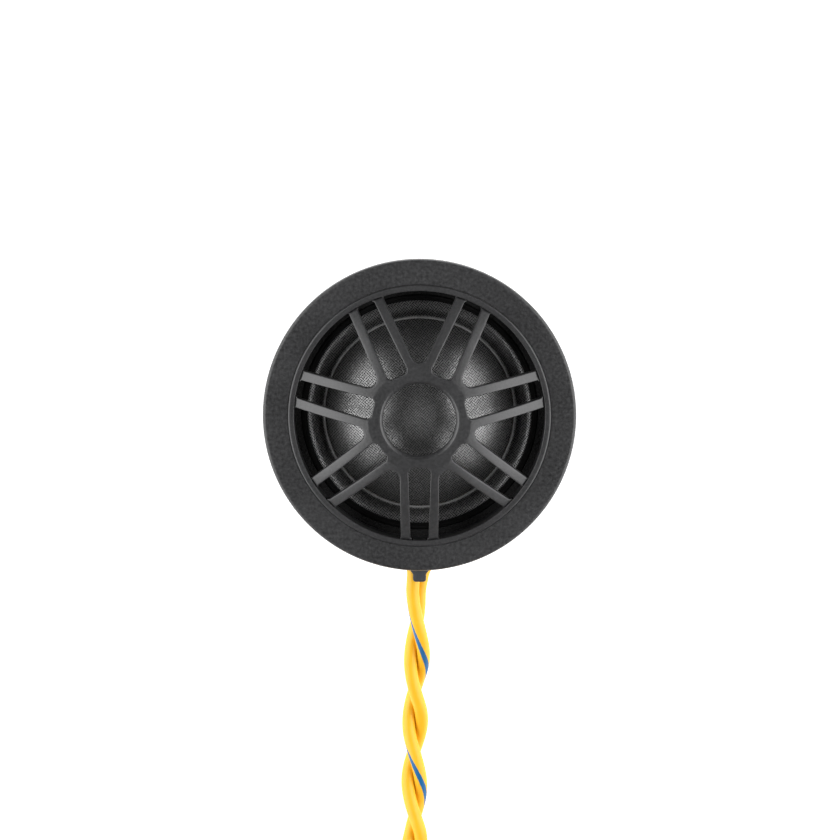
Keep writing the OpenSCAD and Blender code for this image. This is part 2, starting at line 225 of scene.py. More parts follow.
def sweep(verts, faces, rings):
    """Adds a tube to verts and faces: rings of points joined by walls, with both ends closed."""
    first, sides = len(verts), len(rings[0])
    for points in rings:
        verts += points
    faces += walls(first, len(rings), sides)
    faces += [tuple(range(first, first + sides)), tuple(range(len(verts) - sides, len(verts)))]


def direction(line, i):
    """Which way the line runs at its point i."""
    return (line[min(i + 1, len(line) - 1)] - line[max(i - 1, 0)]).normalized()


def circle(middle, across, upward, radius, sides):
    """Points of a ring about middle, in metres from a middle and radius in millimetres."""
    return [(middle + radius * (across * math.cos(math.tau * k / sides)
                                + upward * math.sin(math.tau * k / sides))) * MM for k in range(sides)]


def fit(piece, body, slot, *nodes):
    """Makes a piece ride on a body and stand for its nodes, whose CAD meshes it hides.  The slot is not used."""
    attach(piece, body)
    if nodes:
        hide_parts(*nodes)


def painted(piece, material):
    """The piece with one finish all over."""
    piece.data.materials.clear()
    piece.data.materials.append(material)
    return piece


def block(name, low, high, bevel=0.0, segments=3):
    """A box between two corners, with rounded edges."""
    work = bmesh.new()
    bmesh.ops.create_cube(work, size=1)
    size = [h - l for l, h in zip(low, high)]
    middle = [(l + h) / 2 for l, h in zip(low, high)]
    bmesh.ops.scale(work, vec=size, verts=work.verts)
    bmesh.ops.translate(work, vec=middle, verts=work.verts)
    if bevel:
        bmesh.ops.bevel(work, geom=work.edges[:], offset=bevel, segments=segments, profile=0.5,
                        affect="EDGES")
    mesh = bpy.data.meshes.new(name)
    work.to_mesh(mesh)
    work.free()
    obj = linked(name, mesh)
    finish_shading(obj)
    return obj


def baked(obj):
    """Turns the modifiers of obj into plain mesh and removes them."""
    graph = bpy.context.evaluated_depsgraph_get()
    graph.update()
    mesh = bpy.data.meshes.new_from_object(obj.evaluated_get(graph), preserve_all_data_layers=True,
                                           depsgraph=graph)
    obj.modifiers.clear()
    obj.data = mesh
    return obj


def combine(obj, other, operation):
    """Joins or cuts obj with other, which is used up."""
    modifier = obj.modifiers.new("combine", "BOOLEAN")
    modifier.operation = operation
    modifier.solver = "EXACT"
    modifier.object = other
    baked(obj)
    bpy.data.objects.remove(other)
    finish_shading(obj)
    return obj


def ring_tree(name):
    """Geometry Nodes: copies of a piece in a ring about Z, welded where they meet."""
    tree = bpy.data.node_groups.new(name, "GeometryNodeTree")
    for label, side, kind in (("Geometry", "INPUT", "Geometry"), ("Count", "INPUT", "Int"),
                              ("First angle", "INPUT", "Float"), ("Weld", "INPUT", "Float"),
                              ("Material", "INPUT", "Material"), ("Geometry", "OUTPUT", "Geometry")):
        tree.interface.new_socket(label, in_out=side, socket_type="NodeSocket" + kind)

    def node(kind, settings=(), **inputs):
        made = tree.nodes.new(kind)
        for key, value in dict(settings).items():
            setattr(made, key, value)
        for key, value in inputs.items():
            socket = made.inputs[int(key[2:]) if key.startswith("i_") else key]
            if isinstance(value, bpy.types.NodeSocket):
                tree.links.new(value, socket)
            else:
                socket.default_value = value
        return made

    group = node("NodeGroupInput").outputs
    points = node("GeometryNodePoints", Count=group["Count"])
    index = node("GeometryNodeInputIndex")
    step = node("ShaderNodeMath", {"operation": "DIVIDE"}, i_0=math.tau, i_1=group["Count"])
    turn = node("ShaderNodeMath", {"operation": "MULTIPLY_ADD"}, i_0=index.outputs[0], i_1=step.outputs[0],
                i_2=group["First angle"])
    angle = node("ShaderNodeCombineXYZ", Z=turn.outputs[0])
    copies = node("GeometryNodeInstanceOnPoints", Points=points.outputs[0], Instance=group["Geometry"],
                  Rotation=angle.outputs[0])
    real = node("GeometryNodeRealizeInstances", Geometry=copies.outputs[0])
    weld = node("GeometryNodeMergeByDistance", Geometry=real.outputs[0], Distance=group["Weld"])
    paint = node("GeometryNodeSetMaterial", Geometry=weld.outputs[0], Material=group["Material"])
    result = tree.nodes.new("NodeGroupOutput")
    tree.links.new(paint.outputs[0], result.inputs[0])
    return tree


RING = ring_tree("ring_of_copies")


def ring_of(obj, count, first_angle, material, weld=0.0, smooth_angle=35):
    """Repeats obj in a ring about Z with the Geometry Nodes above, and bakes it."""
    modifier = obj.modifiers.new("ring", "NODES")
    modifier.node_group = RING
    values = {"Count": count, "First angle": first_angle, "Weld": weld, "Material": material}
    for item in RING.interface.items_tree:
        if item.in_out == "INPUT" and item.name in values:
            modifier[item.identifier] = values[item.name]
    baked(obj)
    finish_shading(obj, smooth_angle)
    return obj


# ---------------- finishes
def math_node(operation, swapped=False):
    """A method of Value that adds one Math node and gives its result."""
    def method(self, *others):
        values = (*others, self) if swapped else (self, *others)
        return self.finish.add("ShaderNodeMath", {"operation": operation}, dict(enumerate(values)))
    return method


class Value:
    """A shader socket that adds Math nodes when it is used in an expression."""

    def __init__(self, finish, socket):
        self.finish = finish
        self.socket = socket

    __add__ = __radd__ = math_node("ADD")
    __sub__ = math_node("SUBTRACT")
    __rsub__ = math_node("SUBTRACT", swapped=True)
    __mul__ = __rmul__ = math_node("MULTIPLY")
    __pow__ = math_node("POWER")
    __abs__ = math_node("ABSOLUTE")
    sin = math_node("SINE")
    cos = math_node("COSINE")
    larger = math_node("MAXIMUM")

    def below(self, edge, soft):
        """1 where the value is under edge, 0 over it, with a soft step."""
        return self.finish.add("ShaderNodeMapRange", {"interpolation_type": "SMOOTHSTEP"},
                               {"Value": self, "From Min": edge + soft, "From Max": edge - soft})


class Finish:
    """A procedural material with one Principled shader."""

    def __init__(self, name):
        self.material = bpy.data.materials.new(name)
        self.material.use_nodes = True
        self.tree = self.material.node_tree
        self.shader = self.tree.nodes["Principled BSDF"]

    def add(self, kind, settings=(), inputs=(), output=0):
        """Adds a node: its settings first, then the values or links of its sockets."""
        node = self.tree.nodes.new(kind)
        for key, value in dict(settings).items():
            setattr(node, key, value)
        for key, value in dict(inputs).items():
            self.join(value, node.inputs[key])
        return Value(self, node.outputs[output])

    def join(self, value, socket):
        """Links a Value to the socket, or sets the socket to a plain number, vector or colour."""
        if isinstance(value, Value):
            self.tree.links.new(value.socket, socket)
        elif isinstance(value, (tuple, list)) and socket.type == "RGBA" and len(value) == 3:
            socket.default_value = (*value, 1)
        else:
            socket.default_value = value

    def set(self, **inputs):
        """Sets or links the Principled shader's own sockets."""
        for key, value in inputs.items():
            self.join(value, self.shader.inputs[key.replace("_", " ")])

    def place(self):
        """Where the shaded point lies on the piece."""
        return self.add("ShaderNodeTexCoord", output="Object")

    def parts(self, vector):
        """The three numbers of a vector."""
        split = self.add("ShaderNodeSeparateXYZ", (), {0: vector}).socket.node
        return [Value(self, s) for s in split.outputs]

    def noise(self, size, detail=2.0, roughness=0.5, vector=None):
        """Noise whose features are about size metres across, from 0 to 1."""
        return self.add("ShaderNodeTexNoise", {"noise_dimensions": "3D"},
                        {"Vector": vector or self.place(), "Scale": 1 / size, "Detail": detail,
                         "Roughness": roughness})

    def mix(self, factor, first, second):
        """A colour between first and second."""
        return self.add("ShaderNodeMix", {"data_type": "RGBA"}, {0: factor, 6: first, 7: second}, 2)

    def bump(self, height, distance):
        """Links a height, in units of distance metres, to the shader's normal."""
        self.set(Normal=self.add("ShaderNodeBump", (), {"Height": height, "Distance": distance}))
        return self


def scaled(colour, factor):
    """A colour made lighter or darker."""
    return tuple(channel * factor for channel in colour)


def moulded(name, colour, roughness, grain, relief, specular=0.5, mottle=0.28):
    """Moulded plastic: a fine grain in the surface, and a slight mottle in its tone and gloss."""
    finish = Finish(name)
    fine = finish.noise(grain, 3, 0.65)
    broad = finish.noise(9 * MM, 2)
    tone = (fine - 0.5) * 1.9 + (broad - 0.5) * 0.4 + 0.5
    finish.set(Base_Color=finish.mix(tone, scaled(colour, 1 - mottle), scaled(colour, 1 + mottle)),
               Roughness=fine * 0.12 + broad * 0.08 + (roughness - 0.1), Specular_IOR_Level=specular)
    return finish.bump(fine, relief).material


def cloth(name, thread, pit_shade, pitch, relief, roughness, shade_from_r=1.0):
    """Coated plain-weave cloth: glossy threads, with painted shade darkening the pits between them.  The weave is
    cut on the bias.

    Past the given radius from the axis the cloth is painted near black: a black coat on the outer land, and
    painted shade for the deep gap under the grille's rim.
    """
    finish = Finish(name)
    x, y, _ = finish.parts(finish.place())
    # Painted shade: this mask turns the cloth near black past the radius where the deep gap under the rim begins.
    unshaded = ((x * x + y * y) ** 0.5).below(shade_from_r, 0.12 * MM)
    drift = (finish.noise(4 * MM, 1) - 0.5) * (1.2 * pitch)
    turn = math.pi / pitch
    lean_x, lean_y = math.cos(WEAVE_ANGLE), math.sin(WEAVE_ANGLE)
    across, along = x * lean_x + y * lean_y + drift, x * lean_y - y * lean_x + drift
    warp, weft = abs((across * turn).cos()), abs((along * turn).cos())
    over = (across * turn).sin() * (along * turn).sin() * 0.5
    threads = (warp * (over + 0.6)).larger(weft * (0.6 - over))
    uneven = finish.noise(0.35 * MM, 2)
    top = finish.add("ShaderNodeMapRange", (), {"Value": threads, "From Min": 0.5, "From Max": 0.95})
    # Painted shade: the base colour falls to the near-black pit colour in the hollows between the threads.
    finish.set(Base_Color=finish.mix(top * unshaded * (uneven * 1.6 + 0.2), pit_shade, thread), Metallic=0.75,
               Roughness=roughness + 0.12 - top * 0.12 + (1 - unshaded) * 0.3, Specular_IOR_Level=0.6)
    return finish.bump(threads + uneven * 0.2, relief).material


def metal(name, colour, roughness, grain, stretch=(1, 1, 1)):
    """Bare or plated metal with a fine, stretched grain."""
    finish = Finish(name)
    place = finish.add("ShaderNodeMapping", (), {"Vector": finish.place(), "Scale": stretch})
    fine = finish.noise(grain, 3, 0.6, place)
    broad = finish.noise(4 * MM, 2)
    finish.set(Base_Color=finish.mix(broad, scaled(colour, 0.82), scaled(colour, 1.1)), Metallic=1.0,
               Roughness=fine * 0.2 + (roughness - 0.1))
    return finish.bump(fine, 0.01 * MM).material


def foam(name, colour, cell):
    """Foam or felt: soft, open and matt."""
    finish = Finish(name)
    cells = finish.add("ShaderNodeTexVoronoi", {"feature": "F1"},
                       {"Vector": finish.place(), "Scale": 1 / cell})
    fine = finish.noise(cell * 0.4, 3)
    finish.set(Base_Color=finish.mix(cells, scaled(colour, 1.2), scaled(colour, 0.5)), Roughness=0.95)
    return finish.bump(cells + fine * 0.4, cell * 0.4).material


YELLOW = (0.88, 0.48, 0.018)
STRIPE_BLUE = (0.004, 0.115, 0.31)


def wire_skin(name, striped):
    """Smooth extruded insulation.  The stripe lies where the mesh's own layer says it is near."""
    finish = Finish(name)
    tone = finish.noise(2.5 * MM, 2)
    skin = finish.mix(tone, scaled(YELLOW, 0.93), scaled(YELLOW, 1.03))
    if striped:
        away = finish.add("ShaderNodeAttribute", {"attribute_name": "from_stripe"}, output=2)
        ragged = (finish.noise(0.5 * MM, 2) - 0.5) * 0.02
        line = (away + ragged).below(STRIPE_HALF, 0.008)
        skin = finish.mix(line, skin, STRIPE_BLUE)
    ripple = finish.noise(0.8 * MM, 2)
    finish.set(Base_Color=skin, Roughness=ripple * 0.1 + 0.4, Specular_IOR_Level=0.4)
    return finish.bump(ripple, 0.02 * MM).material


WEAVE_ANGLE = math.radians(52)
# The stripe's middle and half width, as parts of a turn round the wire
STRIPE_PLACE = 66 / 360
STRIPE_HALF = 23 / 360

FLANGE = moulded("flange_grain", (0.0275, 0.0275, 0.0285), 0.40, 0.45 * MM, 0.05 * MM, mottle=0.8)
GRILLE = moulded("grille_satin", (0.0275, 0.0275, 0.0285), 0.40, 0.35 * MM, 0.02 * MM, 0.62, mottle=0.5)
SHELL = moulded("shell_moulding", (0.034, 0.035, 0.037), 0.5, 0.3 * MM, 0.03 * MM)
# Near-black moulding, darker than the other black plastic: painted shade for the deep gap between the roll and
# the rim.
INNER_RING_SHADE = moulded("inner_ring_painted_shade", (0.004, 0.004, 0.004), 0.75, 0.25 * MM, 0.02 * MM, 0.2)
DOME_CLOTH = cloth("dome_weave", (0.78, 0.78, 0.78), (0.006, 0.006, 0.006), 0.32 * MM, 0.05 * MM, 0.30)
# Past 16.6 mm the roll cloth is painted near black, painted shade for the gap under the rim.
ROLL_CLOTH = cloth("roll_weave", (0.9, 0.9, 0.9), (0.004, 0.004, 0.004), 0.32 * MM, 0.035 * MM, 0.25,
                   16.6 * MM)
# Light grey glossy adhesive: its pale tone is partly a painted highlight along the bead.
GLUE_AND_HIGHLIGHT = moulded("glue_line", (0.2, 0.2, 0.2), 0.35, 0.3 * MM, 0.02 * MM, 0.9)
RELIEF = moulded("relief_rubber", (0.036, 0.038, 0.046), 0.6, 0.2 * MM, 0.01 * MM)
PLAIN_SKIN = wire_skin("wire_plain", False)
STRIPED_SKIN = wire_skin("wire_striped", True)
TINNED = metal("tinned_strands", (0.72, 0.71, 0.70), 0.32, 0.1 * MM)
COPPER = metal("copper_strands", (0.80, 0.42, 0.24), 0.35, 0.1 * MM)
NYLON = moulded("tie_nylon", (0.012, 0.012, 0.013), 0.38, 0.4 * MM, 0.01 * MM)
SCREW = metal("screw_zinc", (0.50, 0.51, 0.54), 0.34, 0.12 * MM)


# ---------------- leads
# The route from the body to the coil, in millimetres
RUN_ROUTE = [(0, -22.3, 9.4), (0, -23.3, 9.4), (-0.3, -25.5, 9.35), (-0.5, -27.5, 9.15), (-0.4, -30, 8.6),
             (-0.25, -32.5, 7.8), (-0.3, -36, 6.4), (-0.45, -40, 4.7), (-0.6, -44, 3.3), (-0.65, -48, 2.4),
             (-0.75, -52, 2.05), (-0.85, -57, 2.05), (-0.7, -61, 2.05), (-0.6, -65.9, 2.05)]
LEAD_Z = 2.05
BEND_R = 14
BEND_ANGLE = 45
COIL_R = 23
COIL_INNER_R = 18.8
COIL_X = RUN_ROUTE[-1][0] + (COIL_R + BEND_R) * math.cos(math.radians(BEND_ANGLE)) - BEND_R
COIL_Y = RUN_ROUTE[-1][1] - (COIL_R + BEND_R) * math.sin(math.radians(BEND_ANGLE))
COIL_START = 135
OUTER_TURN = 290
STEP_IN = 70
INNER_TURN = 270
TIE_ANGLE = 270
TIE_LIFT = 0.55
TIE_FLAT = 1.5
TIE_RAMP = 8
TAIL_R = 9
TAIL_TURN = 70
TAIL_DROP = 0.95
WIRE_R = 1.0
STRAND_R = 0.165
STRAND_PITCH = 0.32
# The twist opens slowly: (distance along the leads, striped wire's angle in degrees, degrees per mm)
TWIST_START = [(0, 180, -24), (2.8, 132, -5), (10.1, 90, -12), (22.5, -90, -16), (32.6, -270, -17.9)]
TWIST_RATE = -17.9
# How far before the end of the leads the twist slows down, and stops
TWIST_SLOWS = 34
TWIST_STOPS = 14
# The wires leave their holes further apart, by this part of a wire's radius, and close up over this reach
EXIT_SPREAD = 0.15
EXIT_REACH = 2.8
LEAD_EXIT = tuple(v * MM for v in RUN_ROUTE[0])


def smooth(t):
    """0 to 1 with a soft start and end."""
    t = min(max(t, 0.0), 1.0)
    return t * t * (3 - 2 * t)


def spline(points, step):
    """A smooth line through the points, sampled about every step."""
    knots = [Vector(p) for p in points]
    knots = [2 * knots[0] - knots[1]] + knots + [2 * knots[-1] - knots[-2]]
    line = []
    for a, b, c, d in zip(knots, knots[1:], knots[2:], knots[3:]):
        count = max(2, round((c - b).length / step))
        for i in range(count):
            t = i / count
            line.append(0.5 * (2 * b + (c - a) * t + (2 * a - 5 * b + 4 * c - d) * t * t
                               + (3 * b - a - 3 * c + d) * t ** 3))
    return line + [knots[-2]]


def lead_path(step=0.5):
    """The centreline of the pair: the run, a bend, two flat turns of coil, and an end that bends in."""
    line = spline(RUN_ROUTE, step)[:-1]
    x, y, _ = RUN_ROUTE[-1]
    count = round(math.radians(BEND_ANGLE) * BEND_R / step)
    for i in range(count):
        a = -math.radians(BEND_ANGLE) * i / count
        line.append(Vector((x - BEND_R + BEND_R * math.cos(a), y + BEND_R * math.sin(a), LEAD_Z)))
    turn = OUTER_TURN + STEP_IN + INNER_TURN
    count = round(math.radians(turn) * COIL_R / step)
    for i in range(count):
        a = turn * i / count
        radius = COIL_R + (COIL_INNER_R - COIL_R) * smooth((a - OUTER_TURN) / STEP_IN)
        angle = math.radians(COIL_START + a)
        from_tie = math.radians((COIL_START + a - TIE_ANGLE + 180) % 360 - 180) * radius
        lift = TIE_LIFT * (1 - smooth((abs(from_tie) - TIE_FLAT) / TIE_RAMP))
        x, y = polar(radius, angle)
        line.append(Vector((COIL_X + x, COIL_Y + y, LEAD_Z + lift)))
    angle = math.radians(COIL_START + turn)
    middle = Vector((COIL_X, COIL_Y, 0)) + Vector((*polar(COIL_INNER_R - TAIL_R, angle), 0))
    count = round(math.radians(TAIL_TURN) * TAIL_R / step)
    for i in range(count + 1):
        a = angle + math.radians(TAIL_TURN) * i / count
        height = LEAD_Z - TAIL_DROP * smooth(1.4 * i / count - 0.4)
        line.append(middle + Vector((*polar(TAIL_R, a), height)))
    return line


def ease(t, first, last, rate_first, rate_last):
    """A cubic from first to last over t = 0 to 1, with a given rate at each end."""
    return (first * (1 + 2 * t) * (1 - t) ** 2 + rate_first * t * (1 - t) ** 2
            + last * t * t * (3 - 2 * t) - rate_last * t * t * (1 - t))


def twist_phase(distance, total):
    """The striped wire's angle about the pair's middle, in degrees, from the side towards +X at the exit."""
    for (a, phase_a, rate_a), (b, phase_b, rate_b) in zip(TWIST_START, TWIST_START[1:]):
        if distance < b:
            span = b - a
            return ease((distance - a) / span, phase_a, phase_b, rate_a * span, rate_b * span)
    # The twist ends before the tail bends down, with the two wires side by side
    start, end = total - TWIST_SLOWS, total - TWIST_STOPS
    phase = TWIST_START[-1][1] + TWIST_RATE * (min(distance, start) - TWIST_START[-1][0])
    if distance > start:
        span = end - start
        last = 180 * round((phase + TWIST_RATE * span / 2) / 180)
        phase = ease(min((distance - start) / span, 1), phase, last, TWIST_RATE * span, 0)
    return phase


def twisted_pair():
    """Both wires as one mesh: each is a round tube that winds about the pair's middle."""
    line = lead_path()
    lengths = [0.0]
    for a, b in zip(line, line[1:]):
        lengths.append(lengths[-1] + (b - a).length)
    total = lengths[-1]
    sides = 20
    verts, faces, slots, from_stripe, tips = [], [], [], [], []
    for wire, start in ((0, 0), (1, 180)):
        middles, marks = [], []
        for i, point in enumerate(line):
            ahead = direction(line, i)
            side = ahead.cross(UP).normalized()
            up = side.cross(ahead)
            phase = math.radians(twist_phase(lengths[i], total) + start)
            spread = 1.0 + EXIT_SPREAD * (1 - smooth(lengths[i] / EXIT_REACH))
            middles.append(point + spread * WIRE_R * (-math.cos(phase) * side + math.sin(phase) * up))
            marks.append((-side, up, phase))
        rings = []
        for i, middle in enumerate(middles):
            ahead = direction(middles, i)
            right, up, phase = marks[i]
            right = (right - ahead * right.dot(ahead)).normalized()
            up = ahead.cross(right) * (1 if ahead.cross(right).dot(up) > 0 else -1)
            angles = [phase + math.tau * k / sides for k in range(sides)]
            rings.append([(middle + WIRE_R * (right * math.cos(a) + up * math.sin(a))) * MM
                          for a in angles])
            from_stripe += [abs((k / sides - STRIPE_PLACE + 0.5) % 1 - 0.5) for k in range(sides)]
        sweep(verts, faces, rings)
        slots += [wire] * (len(faces) - len(slots))
        tips.append((middles[-1], (middles[-1] - middles[-3]).normalized()))
    pair = new_object("leads", verts, faces, 50, slots)
    layer = pair.data.attributes.new("from_stripe", "FLOAT", "POINT")
    layer.data.foreach_set("value", from_stripe)
    pair.data.materials.append(STRIPED_SKIN)
    pair.data.materials.append(PLAIN_SKIN)
    return pair, line, total, tips


def stranded_end(name, tip, ahead, splay):
    """The stripped end of one wire: strands of tinned copper that wind round each other."""
    strands, turns, length, inside, drop = 7, 1.5, 6.0, 0.4, 0.45
    sides, rings = 8, 28
    side = ahead.cross(UP).normalized()
    verts, faces = [], []
    for s in range(strands):
        off = 0.0 if s == 0 else STRAND_PITCH
        reach = length - 0.25 * (s % 3)
        line = []
        for i in range(rings):
            t = i / (rings - 1)
            bend = side * splay * t * t - UP * drop * smooth(t * 1.5)
            angle = math.tau * (s / (strands - 1) + turns * t)
            away = (side * math.cos(angle) + ahead.cross(side) * math.sin(angle)) * off
            line.append(tip + ahead * (reach * t - inside) + bend + away)
        tube = []
        for i, point in enumerate(line):
            along = direction(line, i)
            u = along.cross(UP).normalized()
            tube.append(circle(point, u, along.cross(u), STRAND_R, sides))
        sweep(verts, faces, tube)
    return painted(new_object(name, verts, faces, 60), TINNED)


def cable_tie():
    """Nylon tie round the two turns, with a ridged strap and a square head on top."""
    low, high = COIL_INNER_R - 2.1, COIL_R + 2.1
    middle = (low + high) / 2
    inner_top = 4.75
    thick, wide = 0.5, 2.5
    inner = rounded([(low, thick), (high, thick), (high, inner_top), (low, inner_top)], 1.4, 8)
    outer = rounded([(low - thick, 0), (high + thick, 0), (high + thick, inner_top + thick),
                     (low - thick, inner_top + thick)], 1.9, 8)
    verts = []
    for outline, half in ((outer, wide / 2 - 0.15), (outer, wide / 2), (inner, wide / 2), (inner, -wide / 2),
                          (outer, -wide / 2), (outer, 0.15 - wide / 2)):
        shrink = 0.12 if outline is outer and abs(half) == wide / 2 else 0
        for r, z in outline:
            in_r = math.copysign(shrink, r - middle)
            in_z = math.copysign(shrink, z - (inner_top + thick) / 2)
            verts.append((half, r - in_r, z - in_z))
    strap = new_object("lead_tie_strap", [(-x * MM, (COIL_Y - y) * MM, z * MM) for x, y, z in verts],
                       walls(0, 6, len(inner), wrap=True))
    strap.data.transform(Matrix.Translation((COIL_X * MM, 0, 0)))
    head = block("head", ((COIL_X - 1.85) * MM, (COIL_Y - middle - 1.6) * MM, (inner_top + 0.1) * MM),
                 ((COIL_X + 1.85) * MM, (COIL_Y - middle + 1.6) * MM, (inner_top + 2.5) * MM), 0.3 * MM)
    combine(strap, head, "UNION")
    stub = block("stub", ((COIL_X - 1.1) * MM, (COIL_Y - middle + 1.2) * MM, (inner_top + 1.0) * MM),
                 ((COIL_X + 1.1) * MM, (COIL_Y - middle + 3.0) * MM, (inner_top + 1.7) * MM), 0.15 * MM)
    combine(strap, stub, "UNION")
    return painted(strap, NYLON)


leads, lead_line, lead_total, lead_tips = twisted_pair()
fit(leads, "root", "wire_yellow", "lead_run", "lead_coil", "lead_tail")
lead_pieces = [stranded_end("striped_end", *lead_tips[0], 0.6),
               stranded_end("plain_end", *lead_tips[1], -0.6),
               cable_tie()]
for piece, slot, node in zip(lead_pieces, ("tinned_copper", "tinned_copper", "tie_nylon"),
                             ("bare_end_striped", "bare_end_plain", "lead_tie")):
    fit(piece, "root", slot, node)


# ---------------- bezel
def lead_notch(name, z0, z1, width=5.5 * MM):
    """The opening in the body's side for the strain relief."""
    return block(name, (-width / 2, -SKIRT_R - 1 * MM, z0), (width / 2, -17 * MM, z1))


def make_bezel():
    """Flange with a rounded front edge, the grille's seat, and the skirt behind it."""
    profile = rounded([
        (SKIRT_IN_R, SKIRT_Z), (SKIRT_R, SKIRT_Z, 0.3 * MM), (SKIRT_R, FLANGE_BACK_Z, 0.25 * MM),
        (FLANGE_R, FLANGE_BACK_Z, 0.2 * MM), (FLANGE_R, FACE_Z, FLANGE_ROUND), (SEAT_R, FACE_Z, 0.04 * MM),
        (SEAT_R, SEAT_Z), (VOID_R, SEAT_Z, 0.1 * MM), (VOID_R, SHOULDER_Z), (SKIRT_IN_R, SHOULDER_Z)],
        0.08 * MM, 6)
    bezel = painted(lathe("bezel_ring", profile, 256), FLANGE)
    return combine(bezel, lead_notch("notch", SKIRT_Z - 1 * MM, 10.95 * MM), "DIFFERENCE")


fit(make_bezel(), "root", "flange_plastic", "bezel")

# ---------------- grille
PAIRS = 7
HUB_R = 7.4 * MM
HOLE_R = 5.3 * MM
HOLE_CHAMFER = 0.42 * MM
PLATE_T = 1.7 * MM
EDGE_R = 0.14 * MM
SLOT_IN = 6.95 * MM
SLOT_ROUND = 0.75 * MM
APEX_ROUND = 1.29 * MM
SLOT_HALF = (1.64 * MM, 1.33 * MM)
SPOKE_W = (1.25 * MM, 1.42 * MM)
FOOT_EXTRA = 0.22 * MM
FOOT_X = 17.98 * MM
FINGER_END = RIM_IN_R + 0.4 * MM
# The grille's face is a ball through the hub's edge and the rim's inner edge
BALL_Z = (HUB_Z + FACE_Z - (RIM_IN_R ** 2 - HUB_R ** 2) / (HUB_Z - FACE_Z)) / 2
BALL_R = math.hypot(HUB_R, HUB_Z - BALL_Z)


def spoke_edge(x, outer):
    """Distance of a spoke's edge from its pair's middle line, at x along the pair."""
    t = (x - SLOT_IN) / (RIM_IN_R - SLOT_IN)
    y = SLOT_HALF[0] + (SLOT_HALF[1] - SLOT_HALF[0]) * t
    foot = FOOT_EXTRA * smooth((x - FOOT_X) / (0.22 * MM))
    if outer:
        return y + SPOKE_W[0] + (SPOKE_W[1] - SPOKE_W[0]) * t + foot
    return y - foot


def along_spoke(x0, x1, outer, step=0.3 * MM):
    """Points on a spoke's edge, closer together at the foot."""
    marks = list(np.arange(min(x0, x1), FOOT_X - 0.2 * MM, step)) + list(
        np.arange(FOOT_X - 0.1 * MM, max(x0, x1), 0.045 * MM)) + [max(x0, x1)]
    points = [(x, spoke_edge(x, outer)) for x in marks]
    return points if x0 < x1 else points[::-1]


def upper_outline():
    """The upper half of one pair's outline, from the hub's hole round to the slot's middle."""
    half = math.pi / PAIRS
    lean = math.atan2(spoke_edge(SLOT_IN, True) - (SLOT_HALF[1] + SPOKE_W[1]), RIM_IN_R - SLOT_IN)
    offset = (spoke_edge(SLOT_IN, True) + math.tan(lean) * SLOT_IN) * math.cos(lean)
    wedge = half + lean
    centre = offset / math.sin(wedge) + APEX_ROUND / math.sin(wedge)
    apex = [(centre + APEX_ROUND * math.cos(a), APEX_ROUND * math.sin(a))
            for a in np.linspace(math.pi, 1.5 * math.pi - wedge, 14)]
    gap = [(u * math.cos(half) - v * math.sin(half), u * math.sin(half) + v * math.cos(half))
           for u, v in apex]
    tangent_x = gap[-1][0]
    outer = along_spoke(tangent_x + 0.25 * MM, FINGER_END, True)
    near = SLOT_IN + SLOT_ROUND
    corner_y = spoke_edge(near, False) - SLOT_ROUND
    inner = along_spoke(FINGER_END, near, False)
    round_end = corner(near, corner_y, SLOT_ROUND, 90, 180, 8)[1:]
    slot_end = [(SLOT_IN, corner_y * t) for t in (0.75, 0.5, 0.25, 0.0)]
    return gap, outer, inner + round_end + slot_end


def offset_line(points, distance):
    """The open line moved to its left by distance, with its ends kept on their own normals."""
    moved = []
    for i, p in enumerate(points):
        a, b = points[max(i - 1, 0)], points[min(i + 1, len(points) - 1)]
        dx, dy = b[0] - a[0], b[1] - a[1]
        size = math.hypot(dx, dy)
        moved.append((p[0] - dy / size * distance, p[1] + dx / size * distance))
    return moved


def face_height(r):
    """Height of the grille's upper face at radius r."""
    return HUB_Z if r < HUB_R else BALL_Z + math.sqrt(BALL_R ** 2 - r ** 2)


def back_height(r):
    """Height of the grille's lower face at radius r."""
    edge = HUB_R + 0.1 * MM
    flat = HUB_Z - PLATE_T
    return flat if r < edge else min(flat, BALL_Z + math.sqrt((BALL_R - PLATE_T) ** 2 - r ** 2))


def inside(points, x, y):
    """True where (x, y) lies in the closed outline."""
    hit = False
    for (ax, ay), (bx, by) in zip(points, points[1:] + points[:1]):
        if (ay > y) != (by > y) and x < (bx - ax) * (y - ay) / (by - ay) + ax:
            hit = not hit
    return hit


